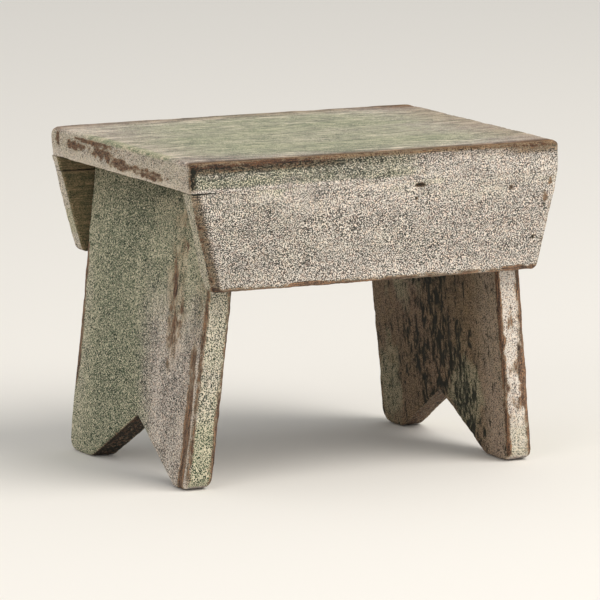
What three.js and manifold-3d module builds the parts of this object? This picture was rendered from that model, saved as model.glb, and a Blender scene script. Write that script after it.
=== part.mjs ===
// Step stool: a low stool of nailed boards. Two splayed plank legs, each with a V notch that leaves
// two feet, stand between two deep aprons with raked ends, and one thick top board covers them all.
// The rear apron is built up from two edge-joined boards. Finishing nails hold the joints.
//
// Millimetres, +Z up. The origin is on the floor under the middle of the top. +X runs along the top,
// and the front apron faces -Y.
import * as THREE from "three";
import { mergeVertices } from "three/addons/utils/BufferGeometryUtils.js";
import Module from "manifold-3d";

const wasm = await Module();
wasm.setup();

// ---- Driving sizes ----

// Whole stool
const STOOL_LENGTH = 258;
const STOOL_WIDTH = 191;
const STOOL_HEIGHT = 203;
const JOINT_GAP = 0.3; // glue line between boards that meet

// Top board
const TOP_THICKNESS = 18.6;
const TOP_CORNER_RADIUS = 4; // the four upright corners
const TOP_ARRIS = 2.5; // easing of the upper arrises

// Aprons
const APRON_THICKNESS = 12;
const APRON_HEIGHT = 61;
const APRON_RAKE = 15.5; // how far each end comes in from its upper corner to its lower one
const APRON_CORNER_RADIUS = 3;
const APRON_ARRIS = 1.5;
const STRIP_HEIGHT = 8.8; // the narrow board along the upper edge of the rear apron
const STRIP_SETBACK = 1.2; // its inner face stands this much behind the main board's

// Legs
const LEG_THICKNESS = 18;
const LEG_STANCE = 244.5; // between the outer faces, on the floor
const LEG_SPLAY = THREE.MathUtils.degToRad(5.9);
const LEG_TAPER = 2.8; // how much each edge of a leg comes in from the top to the floor
const LEG_ARRIS = 2;
const FOOT_OUTER_RADIUS = 8.5;
const FOOT_INNER_RADIUS = 8;
const FOOT_ALLOWANCE = 1.5; // the boards are cut this much long and then levelled on the floor
const NOTCH_WIDTH = 111; // on the floor
const NOTCH_HEIGHT = 35;
const NOTCH_APEX_RADIUS = 4;
const NOTCH_OFFSET_LEFT = -5.5; // from the middle of the leg, along Y
const NOTCH_OFFSET_RIGHT = 3;

// Finishing nails
const NAIL_RADIUS = 0.8;
const NAIL_HEAD_RADIUS = 1.2;
const NAIL_HEAD_HEIGHT = 1.2;
const NAIL_POINT = 2.5;
const NAIL_SET = 0.8; // how far the head is punched below the wood
const NAIL_CLEARANCE = 0.2; // between a nail and its hole, all round
const APRON_NAIL_LENGTH = 30;
const TOP_NAIL_LENGTH = 38;
const APRON_NAIL_DEPTHS = { upper: 15, lower: 46 }; // below the top of the apron
const LEG_NAIL_SPREAD = 90; // between the two nails in the upper end of a leg
const APRON_NAIL_PITCH = 68; // between the nails that hold the top to an apron

const SIDES = { left: -1, right: 1 }; // along X
const FACES = { front: -1, rear: 1 }; // along Y

// ---- Sizes that follow from them ----

const UNDERSIDE = STOOL_HEIGHT - TOP_THICKNESS;
const APRON_TOP = UNDERSIDE - JOINT_GAP;
const LEG_TOP = UNDERSIDE - JOINT_GAP;
const LEG_WIDTH = STOOL_WIDTH - 2 * (APRON_THICKNESS + JOINT_GAP);
const APRON_CENTRE_Y = (STOOL_WIDTH - APRON_THICKNESS) / 2;
const STRIP_THICKNESS = APRON_THICKNESS - STRIP_SETBACK;
const OVERSIZE = 10; // how far a board or a cutter runs past the plane that trims it

// ---- Solids ----

// A closed mesh geometry as a manifold solid.
function toSolid(geometry) {
  const bare = geometry.clone();
  bare.deleteAttribute("normal");
  bare.deleteAttribute("uv");
  const merged = mergeVertices(bare, 1e-4);
  return new wasm.Manifold(
    new wasm.Mesh({
      numProp: 3,
      vertProperties: merged.attributes.position.array,
      triVerts: new Uint32Array(merged.index.array),
    }),
  );
}

// A manifold solid as a mesh geometry.
function toGeometry(solid) {
  const mesh = solid.getMesh();
  const geometry = new THREE.BufferGeometry();
  geometry.setAttribute("position", new THREE.BufferAttribute(mesh.vertProperties, 3));
  geometry.setIndex(new THREE.BufferAttribute(mesh.triVerts, 1));
  geometry.computeVertexNormals();
  return geometry;
}

// Cuts geometries given in the stool's frame from a mesh, whose own geometry is in its local frame.
function cut(mesh, cutters) {
  mesh.updateMatrixWorld(true);
  const toLocal = mesh.matrixWorld.clone().invert();
  let solid = toSolid(mesh.geometry);
  for (const cutter of cutters) {
    solid = solid.subtract(toSolid(cutter.clone().applyMatrix4(toLocal)));
  }
  mesh.geometry = toGeometry(solid);
  return mesh;
}

// A block that fills everything above (or below) a height, wide enough to trim any board.
function halfSpace(height, above) {
  const size = 2 * STOOL_LENGTH + 2 * STOOL_WIDTH;
  const block = new THREE.BoxGeometry(size, size, STOOL_HEIGHT);
  return block.translate(0, 0, height + ((above ? 1 : -1) * STOOL_HEIGHT) / 2);
}

// ---- Outlines ----

// A closed outline through corners [x, y, radius], with each corner rounded to its radius. A rounding
// never takes more than half of the shorter edge that it joins.
function roundedOutline(corners) {
  const count = corners.length;
  const points = [];
  corners.forEach(([x, y, radius], i) => {
    const corner = new THREE.Vector2(x, y);
    if (!radius) {
      points.push(corner);
      return;
    }
    const [px, py] = corners[(i + count - 1) % count];
    const [nx, ny] = corners[(i + 1) % count];
    const back = new THREE.Vector2(px - x, py - y);
    const ahead = new THREE.Vector2(nx - x, ny - y);
    const room = Math.min(back.length(), ahead.length()) / 2;
    back.normalize();
    ahead.normalize();
    const half = Math.acos(THREE.MathUtils.clamp(back.dot(ahead), -1, 1)) / 2;
    const reach = Math.min(radius / Math.tan(half), room);
    const centre = back.clone().add(ahead).normalize();
    centre.multiplyScalar(reach / Math.cos(half)).add(corner);
    const start = corner.clone().addScaledVector(back, reach).sub(centre);
    const end = corner.clone().addScaledVector(ahead, reach).sub(centre);
    const turn = Math.atan2(start.cross(end), start.dot(end));
    const steps = Math.max(2, Math.ceil(Math.abs(turn) / (Math.PI / 10)));
    for (let k = 0; k <= steps; k++) {
      points.push(start.clone().rotateAround(new THREE.Vector2(), (turn * k) / steps).add(centre));
    }
  });
  return new THREE.Shape(points);
}

// A plate of an outline and thickness, from 0 up, with every arris eased by the same amount.
function easedPlate(shape, thickness, easing) {
  return new THREE.ExtrudeGeometry(shape, {
    depth: thickness - 2 * easing,
    bevelEnabled: true,
    bevelThickness: easing,
    bevelSize: easing,
    bevelOffset: -easing,
    bevelSegments: 2,
    curveSegments: 4,
  }).translate(0, 0, easing);
}

// ---- Materials ----

function paintedWood(colour) {
  return new THREE.MeshStandardMaterial({ color: colour, roughness: 0.85, metalness: 0 });
}

function nailSteel() {
  return new THREE.MeshStandardMaterial({ color: 0x6b675f, roughness: 0.45, metalness: 1 });
}

function namedMesh(name, geometry, material) {
  const mesh = new THREE.Mesh(geometry, material);
  mesh.name = name;
  return mesh;
}

// ---- Boards ----

// The top: upper arrises and upright corners eased, the lower arrises left square against the aprons.
function topBoard() {
  const x = STOOL_LENGTH / 2;
  const y = STOOL_WIDTH / 2;
  const r = TOP_CORNER_RADIUS;
  const plan = roundedOutline([[-x, -y, r], [x, -y, r], [x, y, r], [-x, y, r]]);
  const plate = easedPlate(plan, TOP_THICKNESS + OVERSIZE, TOP_ARRIS).translate(0, 0, -OVERSIZE);
  const mesh = namedMesh("top_board", plate, paintedWood(0x8d9a7c));
  mesh.position.z = UNDERSIDE;
  return cut(mesh, [halfSpace(UNDERSIDE, false)]);
}

// An apron board on one face of the stool, between two heights measured down from the apron's top.
// The ends follow the apron's rake. It is trimmed square at the heights in squareAt.
function apronBoard(name, face, thickness, squareAt, colour) {
  const halfTop = STOOL_LENGTH / 2 + (OVERSIZE * APRON_RAKE) / APRON_HEIGHT;
  const halfBottom = STOOL_LENGTH / 2 - APRON_RAKE;
  const elevation = roundedOutline([
    [-halfBottom, -APRON_HEIGHT, APRON_CORNER_RADIUS],
    [halfBottom, -APRON_HEIGHT, APRON_CORNER_RADIUS],
    [halfTop, OVERSIZE, 0],
    [-halfTop, OVERSIZE, 0],
  ]);
  // The plate's thickness runs towards -Y once its outline stands upright.
  const board = easedPlate(elevation, thickness, APRON_ARRIS).rotateX(Math.PI / 2);
  const mesh = namedMesh(name, board, paintedWood(colour));
  const outerFace = (face * STOOL_WIDTH) / 2;
  mesh.position.set(0, face > 0 ? outerFace : outerFace + thickness, APRON_TOP);
  return cut(mesh, squareAt);
}

function aprons() {
  const seam = APRON_TOP - STRIP_HEIGHT;
  const atTop = halfSpace(APRON_TOP, true);
  return [
    apronBoard("front_apron", FACES.front, APRON_THICKNESS, [atTop], 0xb5aa97),
    apronBoard(
      "rear_apron",
      FACES.rear,
      APRON_THICKNESS,
      [halfSpace(seam - JOINT_GAP / 2, true)],
      0xa9a58c,
    ),
    apronBoard(
      "rear_apron_strip",
      FACES.rear,
      STRIP_THICKNESS,
      [atTop, halfSpace(seam + JOINT_GAP / 2, false)],
      0x8f8a70,
    ),
  ];
}

// The outline of a leg in its own plane: across the leg, then up from the floor.
function legOutline(notchOffset) {
  const length = LEG_TOP / Math.cos(LEG_SPLAY);
  const topHalf = LEG_WIDTH / 2;
  const lean = LEG_TAPER / length;
  const low = -FOOT_ALLOWANCE;
  const high = length + OVERSIZE;
  const lowHalf = topHalf - LEG_TAPER + lean * low;
  const highHalf = topHalf - LEG_TAPER + lean * high;
  // The sides of the notch run on in the same line to the foot's lower edge.
  const notchHalf = (NOTCH_WIDTH / 2) * (1 - low / NOTCH_HEIGHT);
  return roundedOutline([
    [-lowHalf, low, FOOT_OUTER_RADIUS],
    [notchOffset - notchHalf, low, FOOT_INNER_RADIUS],
    [notchOffset, NOTCH_HEIGHT, NOTCH_APEX_RADIUS],
    [notchOffset + notchHalf, low, FOOT_INNER_RADIUS],
    [lowHalf, low, FOOT_OUTER_RADIUS],
    [highHalf, high, 0],
    [-highHalf, high, 0],
  ]);
}

// A leg leans in from the floor. Its ends are cut level: flat on the floor and flat under the top.
function leg(name, side, notchOffset) {
  const upright = new THREE.Matrix4().makeBasis(
    new THREE.Vector3(0, 1, 0),
    new THREE.Vector3(0, 0, 1),
    new THREE.Vector3(1, 0, 0),
  );
  const plank = easedPlate(legOutline(notchOffset), LEG_THICKNESS, LEG_ARRIS);
  plank.applyMatrix4(upright);
  if (side > 0) plank.translate(-LEG_THICKNESS, 0, 0);
  const mesh = namedMesh(name, plank, paintedWood(0x7f9071));
  mesh.position.x = (side * LEG_STANCE) / 2;
  mesh.rotation.y = -side * LEG_SPLAY;
  return cut(mesh, [halfSpace(0, false), halfSpace(LEG_TOP, true)]);
}

// The middle of a leg's thickness along X, at a height above the floor.
function legCentreX(side, height) {
  const outer = LEG_STANCE / 2 - Math.tan(LEG_SPLAY) * height;
  return side * (outer - LEG_THICKNESS / Math.cos(LEG_SPLAY) / 2);
}

// ---- Nails ----

// A round nail on the Y axis, point down at 0, with a small head at its upper end.
function nailGeometry(length) {
  const shoulder = length - NAIL_HEAD_HEIGHT;
  return turned([
    [0, 0],
    [NAIL_RADIUS, NAIL_POINT],
    [NAIL_RADIUS, shoulder],
    [NAIL_HEAD_RADIUS, shoulder],
    [NAIL_HEAD_RADIUS, length],
    [0, length],
  ]);
}

// The hole that clears such a nail, open past the face that the nail was driven into.
function nailHoleGeometry(length) {
  const shoulder = length - NAIL_HEAD_HEIGHT - NAIL_CLEARANCE;
  const shank = NAIL_RADIUS + NAIL_CLEARANCE;
  const head = NAIL_HEAD_RADIUS + NAIL_CLEARANCE;
  return turned([
    [0, -2 * NAIL_CLEARANCE],
    [shank, NAIL_POINT],
    [shank, shoulder],
    [head, shoulder],
    [head, length + NAIL_SET + 1],
    [0, length + NAIL_SET + 1],
  ]);
}

function turned(profile) {
  return new THREE.LatheGeometry(profile.map(([r, y]) => new THREE.Vector2(r, y)), 10);
}

// The places of all nails: where each one enters the wood, and the way its head faces.
function nailPlaces() {
  const up = new THREE.Vector3(0, 0, 1);
  const places = [];
  for (const [sideName, side] of Object.entries(SIDES)) {
    for (const [faceName, face] of Object.entries(FACES)) {
      const out = new THREE.Vector3(0, face, 0);
      for (const [level, depth] of Object.entries(APRON_NAIL_DEPTHS)) {
        const z = APRON_TOP - depth;
        const entry = new THREE.Vector3(legCentreX(side, z), (face * STOOL_WIDTH) / 2, z);
        const name = `apron_nail_${faceName}_${sideName}_${level}`;
        places.push({ name, entry, out, length: APRON_NAIL_LENGTH });
      }
      const bite = LEG_TOP - (TOP_NAIL_LENGTH - TOP_THICKNESS) / 2;
      const x = legCentreX(side, bite);
      const entry = new THREE.Vector3(x, (face * LEG_NAIL_SPREAD) / 2, STOOL_HEIGHT);
      const name = `top_nail_leg_${sideName}_${faceName}`;
      places.push({ name, entry, out: up, length: TOP_NAIL_LENGTH });
    }
  }
  for (const [faceName, face] of Object.entries(FACES)) {
    ["left", "middle", "right"].forEach((stationName, i) => {
      const x = (i - 1) * APRON_NAIL_PITCH;
      const entry = new THREE.Vector3(x, face * APRON_CENTRE_Y, STOOL_HEIGHT);
      const name = `top_nail_apron_${faceName}_${stationName}`;
      places.push({ name, entry, out: up, length: TOP_NAIL_LENGTH });
    });
  }
  return places;
}

// Stands a geometry made on the Y axis at a nail's place, with its head punched below the surface.
function placeNail(object, place) {
  object.quaternion.setFromUnitVectors(new THREE.Vector3(0, 1, 0), place.out);
  object.position.copy(place.entry).addScaledVector(place.out, -NAIL_SET - place.length);
  object.updateMatrixWorld(true);
  return object;
}

function nail(place) {
  return placeNail(namedMesh(place.name, nailGeometry(place.length), nailSteel()), place);
}

function nailHole(place) {
  const hole = placeNail(new THREE.Object3D(), place);
  return nailHoleGeometry(place.length).applyMatrix4(hole.matrixWorld);
}

// ---- The stool ----

function boundsOf(geometry) {
  geometry.computeBoundingBox();
  return geometry.boundingBox;
}

// Drills each board for the nails that reach it.
function drill(board, holes) {
  const box = new THREE.Box3().setFromObject(board);
  return cut(board, holes.filter((hole) => boundsOf(hole).intersectsBox(box)));
}

const places = nailPlaces();
const holes = places.map(nailHole);
const boards = [
  topBoard(),
  ...aprons(),
  leg("left_leg", SIDES.left, NOTCH_OFFSET_LEFT),
  leg("right_leg", SIDES.right, NOTCH_OFFSET_RIGHT),
];

const stool = new THREE.Group();
stool.name = "step_stool";
stool.add(...boards.map((board) => drill(board, holes)));
stool.add(...places.map(nail));

export default stool;
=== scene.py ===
"""Step stool of nailed boards in chippy milk paint: sage green over cream, rubbed back to brown wood."""

from functools import partial
from math import cos, radians, sin, tan
from types import SimpleNamespace

import bpy
import numpy as np
from mathutils import Matrix, Vector


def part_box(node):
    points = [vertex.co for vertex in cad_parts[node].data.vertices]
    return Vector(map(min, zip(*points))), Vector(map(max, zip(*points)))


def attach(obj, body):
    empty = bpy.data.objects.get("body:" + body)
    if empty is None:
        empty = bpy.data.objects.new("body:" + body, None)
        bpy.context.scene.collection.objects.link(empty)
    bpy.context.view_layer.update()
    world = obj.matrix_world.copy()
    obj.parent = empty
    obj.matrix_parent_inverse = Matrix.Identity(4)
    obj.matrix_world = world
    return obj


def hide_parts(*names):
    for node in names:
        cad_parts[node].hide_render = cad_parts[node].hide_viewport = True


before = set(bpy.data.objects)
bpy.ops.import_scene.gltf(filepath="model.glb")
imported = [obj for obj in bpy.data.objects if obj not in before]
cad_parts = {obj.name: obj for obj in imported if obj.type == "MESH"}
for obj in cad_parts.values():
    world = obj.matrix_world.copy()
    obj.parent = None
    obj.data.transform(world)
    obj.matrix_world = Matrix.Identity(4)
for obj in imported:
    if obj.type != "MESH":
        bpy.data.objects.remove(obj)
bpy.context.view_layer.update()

MM = 0.001

# ---- Sizes of the boards, in millimetres ----


def box_mm(node):
    """A node's lowest and highest corners."""
    low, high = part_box(node)
    return np.array(low) / MM, np.array(high) / MM


TOP_LOW, TOP_HIGH = box_mm("top_board")
APRON_LOW, APRON_HIGH = box_mm("front_apron")
REAR_HIGH = box_mm("rear_apron")[1]
STRIP_LOW, STRIP_HIGH = box_mm("rear_apron_strip")
LEG_HIGH = box_mm("left_leg")[1]

HALF_LENGTH, HALF_WIDTH, HEIGHT = TOP_HIGH
UNDERSIDE = TOP_LOW[2]  # aprons and legs run right up to it, so that no light shows in the glue lines
GLUE_REACH = 1.0  # a board whose top is nearer than this to the underside is run up to it

APRON_BOTTOM = APRON_LOW[2]
APRON_THICKNESS = APRON_HIGH[1] - APRON_LOW[1]
STRIP_THICKNESS = STRIP_HIGH[1] - STRIP_LOW[1]
STRIP_BOTTOM = STRIP_LOW[2]
REAR_TOP = REAR_HIGH[2]
RAKE = 15.5  # how far each end of an apron comes in towards the bottom
RAKE_TOP = 184.1  # the height where the rake starts
RAKE_DEPTH = 61.0  # and how far down it runs
RAKE_ANGLE = np.arctan(RAKE / RAKE_DEPTH)
REAR_END_SHORT = 0.6  # how much the rear apron's left end is cut short at its top
REAR_END_TURN = 2.3  # and how much more at its bottom

LEG_THICKNESS = 18.0
LEG_SPLAY = radians(5.9)
LEG_HALF_STANCE = 122.25  # from the middle to a leg's outer face, on the floor
LEG_TAPER = 2.8  # how much each edge of a leg comes in from the top to the floor
LEG_HALF_WIDTH = LEG_HIGH[1]
FOOT_RADIUS = 8.5
NOTCH_HALF_WIDTH = 55.5
NOTCH_HEIGHT = 35.0
NOTCH_ANGLE = np.arctan(NOTCH_HEIGHT / NOTCH_HALF_WIDTH)
NOTCH_OFFSETS = {"left_leg": -5.5, "right_leg": 3.0}

# ---- Seeded noise on points in millimetres ----

LATTICE_PRIMES = (73856093, 19349663, 83492791)
SEED_PRIME = 26544357
MIXER = 1274126177
OCTAVE_SHIFT = 17.3  # keeps the octaves of a noise from lining up


def value_noise(points, seed):
    """Smooth noise from 0 to 1 on a unit lattice."""
    cell = np.floor(points).astype(np.int64)
    t = points - cell
    t = t * t * (3 - 2 * t)
    total = np.zeros(len(points))
    for corner in range(8):
        step = np.array([corner & 1, corner >> 1 & 1, corner >> 2 & 1])
        i, j, k = ((cell + step) * LATTICE_PRIMES).T
        h = (i ^ j ^ k ^ (seed * SEED_PRIME)) & 0xFFFFFFFF
        h = ((h ^ (h >> 13)) * MIXER) & 0xFFFFFFFF
        h ^= h >> 16
        weight = np.prod(np.where(step, t, 1 - t), axis=1)
        total += weight * (h & 0xFFFF) / 0xFFFF
    return total


def noise(points, size, seed, octaves=3, stretch=(1, 1, 1)):
    """Fractal noise from 0 to 1 with features of a size in millimetres, drawn out by stretch."""
    total, reach = np.zeros(len(points)), 0.0
    for octave in range(octaves):
        share = 0.5**octave
        scaled = points / (np.array(stretch) * size * share)
        total += share * value_noise(scaled + OCTAVE_SHIFT * octave, seed + octave)
        reach += share
    return total / reach


def ramp(value, low, high):
    """0 at low, 1 at high, smooth between; low may be above high."""
    t = np.clip((value - low) / (high - low), 0, 1)
    return t * t * (3 - 2 * t)


# ---- Boards as dense shells settled onto a softened solid ----


def spaced(low, high, step, margin=4.0, fine=0.45):
    """Stations from low to high: fine steps next to the arrises and even ones between."""
    margin = min(margin, (high - low) / 2 - fine)
    edge = np.linspace(0, margin, max(2, round(margin / fine)) + 1)
    count = max(2, round((high - low - 2 * margin) / step))
    middle = np.linspace(low + margin, high - margin, count + 1)
    return np.concatenate([low + edge[:-1], middle, high - edge[:-1][::-1]])


def shell(a, b, c):
    """Points and outward quads of a box surface with stations a, b and c along its three axes."""
    counts = (len(a), len(b), len(c))
    index = -np.ones(counts, np.int64)
    surface = np.zeros(counts, bool)
    for axis in range(3):
        ends = [slice(None)] * 3
        ends[axis] = [0, -1]
        surface[tuple(ends)] = True
    index[surface] = np.arange(surface.sum())
    i, j, k = np.nonzero(surface)
    points = np.stack([a[i], b[j], c[k]], axis=1)
    quads = []
    for axis in range(3):
        for end in (0, -1):
            sheet = np.take(index, end, axis=axis)
            ring = [sheet[:-1, :-1], sheet[1:, :-1], sheet[1:, 1:], sheet[:-1, 1:]]
            if (end == 0) != (axis == 1):
                ring.reverse()
            quads.append(np.stack(ring, axis=-1).reshape(-1, 4))
    return points, np.concatenate(quads)


def soft_min(a, b, radius):
    """The inside distance where two faces meet in an arris rounded to radius."""
    bent = radius - np.hypot(np.maximum(radius - a, 0), np.maximum(radius - b, 0))
    return np.where(np.minimum(a, b) < radius, bent, np.minimum(a, b))


def inward(inside, points):
    """Unit directions in which the inside distance grows."""
    gradient = np.zeros_like(points)
    for axis in range(3):
        step = np.zeros(3)
        step[axis] = 0.04
        gradient[:, axis] = inside(points + step) - inside(points - step)
    return gradient / np.maximum(np.linalg.norm(gradient, axis=1, keepdims=True), 1e-9)


def settle(points, inside):
    """Brings points that stand proud of the softened solid onto its surface."""
    for _ in range(5):
        depth = np.minimum(inside(points), 0)
        points = points - inward(inside, points) * depth[:, None]
    return points


def rub(to_a, to_b, width_on_a, width_on_b):
    """How much the arris between faces a and b is rubbed: 1 on it, fading over a width on each face."""
    return np.clip(1 - to_b / width_on_a, 0, 1) * np.clip(1 - to_a / width_on_b, 0, 1)


def patch(points, centre, reach, seed, ragged=0.5):
    """A ragged patch: 1 at its centre, 0 past its reach along each axis."""
    away = np.linalg.norm((points - np.array(centre)) / np.array(reach), axis=1)
    return ramp(away + ragged * (noise(points, min(reach), seed) - 0.5) * 2, 1.15, 0.55)


def patches(points, places, seed, ragged=0.5):
    """The sum of ragged patches at places, which are pairs of centre and reach."""
    return sum(patch(points, centre, reach, seed, ragged) for centre, reach in places)


def dent(points, centre, radius):
    """A round dent: 1 at its centre, 0 at its rim."""
    away = np.linalg.norm(points - np.array(centre), axis=1) / radius
    return np.clip(1 - away * away, 0, 1)


# ---- Colours and nodes ----


def srgb(code):
    """A colour written as sRGB hex, as linear RGBA."""
    parts = [int(code[i : i + 2], 16) / 255 for i in (1, 3, 5)]
    linear = [c / 12.92 if c <= 0.04045 else ((c + 0.055) / 1.055) ** 2.4 for c in parts]
    return (*linear, 1.0)


def add(tree, kind, inputs=None, stops=None, **settings):
    """Adds a node with its settings, its input values or links, and its ramp's stops."""
    node = tree.nodes.new(kind)
    for key, value in settings.items():
        setattr(node, key, value)
    for key, value in (inputs or {}).items():
        if isinstance(value, bpy.types.Node):
            value = value.outputs[0]
        if isinstance(value, bpy.types.NodeSocket):
            tree.links.new(value, node.inputs[key])
        else:
            node.inputs[key].default_value = value
    if stops:
        ramp_stops = node.color_ramp.elements
        while len(ramp_stops) < len(stops):
            ramp_stops.new(0.5)
        for element, (place, code) in zip(ramp_stops, stops):
            element.position = place
            element.color = srgb(code)
    return node


def new_material(name):
    material = bpy.data.materials.new(name)
    material.use_nodes = True
    tree = material.node_tree
    tree.nodes.clear()
    return material, tree


# Each coat runs from its gritty hollows, through its body colour, to its dry-brushed high spots.
COAT_STOPS = (0.1, 0.34, 0.5, 0.66, 0.88)
GREY_CREAM = list(zip(COAT_STOPS, ("#383c36", "#645f59", "#918b85", "#bdb5ad", "#ede6dc")))
ROSY_CREAM = list(zip(COAT_STOPS, ("#3a312c", "#70605a", "#9c8c84", "#c8b5a9", "#f2e3d2")))
SAGE_GREEN = list(zip(COAT_STOPS, ("#222b1f", "#505e47", "#76856a", "#9fa487", "#ded5bb")))
BARE_PINE = [(0.34, "#33271f"), (0.45, "#5e4a3c"), (0.57, "#806450"), (0.72, "#b38a66")]
UNDERCOAT = "#c9b594"
# Near black, for grime and for painted shade.
GRIME_AND_SHADE = "#13170b"
# A brown wash, which also paints shade.
UMBER_WASH_AND_SHADE = "#917353"

MIX_SHARE, MIX_A, MIX_B, MIX_COLOUR = 0, 6, 7, 2  # the colour sockets of a Mix node


def milk_paint(name, grit_size, smear_size, grain_size, chip_size):
    """Milk paint on pine: casein paint brushed on thick over grit, then rubbed back by hand. To the
    eye it is dead matt and sandy, sage green in the hollows of the cream, with bare brown wood and a
    pale undercoat where hands, feet and floors have rubbed it. Sizes are in millimetres. Such grit
    is about 0.3 mm across, too fine to show, so it is drawn at about 0.7 mm.

    Each board carries its coats as attributes on its points: sage (how green), cream (how light), wood
    (rubbed bare), shade (grime, and painted shade in the notches, the crack and on inner and under
    faces), grit (how sandy) and umber (a brown wash, which also paints that shade)."""
    material, tree = new_material(name)
    node = partial(add, tree)
    place = node("ShaderNodeTexCoord").outputs["Object"]
    coat = {}
    for share in ("sage", "cream", "wood", "shade", "grit", "umber_and_shade"):
        coat[share] = node("ShaderNodeAttribute", attribute_name=share).outputs["Fac"]

    def pattern(size, detail, distortion=0.0, rough=0.6):
        """Noise with features of a size in millimetres along each axis."""
        scaled = node("ShaderNodeMapping", {0: place, "Scale": [1 / (s * MM) for s in size]})
        inputs = {"Vector": scaled, "Scale": 1.0, "Detail": detail}
        inputs |= {"Roughness": rough, "Distortion": distortion}
        return node("ShaderNodeTexNoise", inputs)

    specks = pattern(grit_size, 0.6, 0.5)
    blotches = pattern((7, 7, 6), 3.0)
    hues = pattern((1.6, 1.6, 1.6), 2.0)
    streaks = pattern(grain_size, 3.0, 0.2)
    smears = pattern(smear_size, 2.0, 0.4)
    chips = pattern(chip_size, 5.0, 0.3, 0.72)
    speck_swing, blotch_swing, streak_swing, chip_swing = [
        node("ShaderNodeMath", {0: swinging, 1: 0.5}, operation="SUBTRACT")
        for swinging in (specks, blotches, streaks, chips)
    ]

    # How light the paint is: sandy specks where there is grit, brush and grain streaks where not.
    speck_gain = node("ShaderNodeMath", {0: coat["grit"], 1: 5.0}, operation="MULTIPLY")
    speck_part = node("ShaderNodeMath", {0: speck_swing, 1: speck_gain}, operation="MULTIPLY")
    streak_gain = node("ShaderNodeMath", {0: coat["grit"], 1: -0.7, 2: 1.0}, operation="MULTIPLY_ADD")
    streak_inputs = {0: streak_swing, 1: streak_gain, 2: 0.5}
    streak_part = node("ShaderNodeMath", streak_inputs, operation="MULTIPLY_ADD")
    blotch_part = node("ShaderNodeMath", {0: blotch_swing, 1: 0.5}, operation="MULTIPLY")
    cream_inputs = {0: coat["cream"], 1: 0.5, 2: blotch_part}
    cream_part = node("ShaderNodeMath", cream_inputs, operation="MULTIPLY_ADD")
    texture = node("ShaderNodeMath", {0: speck_part, 1: streak_part}, operation="ADD")
    level = node("ShaderNodeMath", {0: texture, 1: cream_part}, operation="ADD")
    grey_cream = node("ShaderNodeValToRGB", {"Fac": level}, stops=GREY_CREAM)
    rosy_cream = node("ShaderNodeValToRGB", {"Fac": level}, stops=ROSY_CREAM)
    sage_green = node("ShaderNodeValToRGB", {"Fac": level}, stops=SAGE_GREEN)

    # The cream wanders between grey and rosy, gives way to green, and is washed with umber. The umber
    # also paints shade in the notches, under the top and on inner faces.
    rosy_range = {"Value": hues, "From Min": 0.44, "From Max": 0.66}
    rosy_share = node("ShaderNodeMapRange", rosy_range, interpolation_type="SMOOTHSTEP")
    colours = {MIX_SHARE: rosy_share, MIX_A: grey_cream, MIX_B: rosy_cream}
    paint = node("ShaderNodeMix", colours, data_type="RGBA").outputs[MIX_COLOUR]
    greened = node("ShaderNodeMath", {0: blotches, 1: 0.5, 2: coat["sage"]}, operation="MULTIPLY_ADD")
    green_range = {"Value": greened, "From Min": 0.35, "From Max": 1.15}
    green_share = node("ShaderNodeMapRange", green_range, interpolation_type="SMOOTHSTEP")
    colours = {MIX_SHARE: green_share, MIX_A: paint, MIX_B: sage_green}
    paint = node("ShaderNodeMix", colours, data_type="RGBA").outputs[MIX_COLOUR]
    colours = {MIX_SHARE: coat["umber_and_shade"], MIX_A: paint, MIX_B: srgb(UMBER_WASH_AND_SHADE)}
    washed = node("ShaderNodeMix", colours, data_type="RGBA", blend_type="MULTIPLY")
    paint = washed.outputs[MIX_COLOUR]

    # Bare wood, with the umber wash and the shade it paints soaked in less than on the paint.
    wood_tone = node("ShaderNodeMath", {0: speck_swing, 1: 0.7, 2: streaks}, operation="MULTIPLY_ADD")
    bare_pine = node("ShaderNodeValToRGB", {"Fac": wood_tone}, stops=BARE_PINE)
    soaked = node("ShaderNodeMath", {0: coat["umber_and_shade"], 1: 0.8}, operation="MULTIPLY")
    colours = {MIX_SHARE: soaked, MIX_A: bare_pine, MIX_B: srgb(UMBER_WASH_AND_SHADE)}
    washed = node("ShaderNodeMix", colours, data_type="RGBA", blend_type="MULTIPLY")
    wood = washed.outputs[MIX_COLOUR]

    # Where it is rubbed: a thin rim of undercoat, then wood. The specks fray every edge.
    speck_edge = node("ShaderNodeMath", {0: speck_swing, 1: 0.8}, operation="MULTIPLY")
    chipped_inputs = {0: chip_swing, 1: 1.3, 2: coat["wood"]}
    chipped_off = node("ShaderNodeMath", chipped_inputs, operation="MULTIPLY_ADD")
    rubbed = node("ShaderNodeMath", {0: chipped_off, 1: speck_edge}, operation="ADD")
    rim_range = {"Value": rubbed, "From Min": 0.32, "From Max": 0.46}
    rim = node("ShaderNodeMapRange", rim_range, interpolation_type="SMOOTHSTEP")
    rim_share = node("ShaderNodeMath", {0: rim, 1: 0.5}, operation="MULTIPLY")
    wood_range = {"Value": rubbed, "From Min": 0.42, "From Max": 0.6}
    wood_share = node("ShaderNodeMapRange", wood_range, interpolation_type="SMOOTHSTEP")
    colours = {MIX_SHARE: rim_share, MIX_A: paint, MIX_B: srgb(UNDERCOAT)}
    paint = node("ShaderNodeMix", colours, data_type="RGBA").outputs[MIX_COLOUR]
    colours = {MIX_SHARE: wood_share, MIX_A: paint, MIX_B: wood}
    paint = node("ShaderNodeMix", colours, data_type="RGBA").outputs[MIX_COLOUR]
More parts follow.
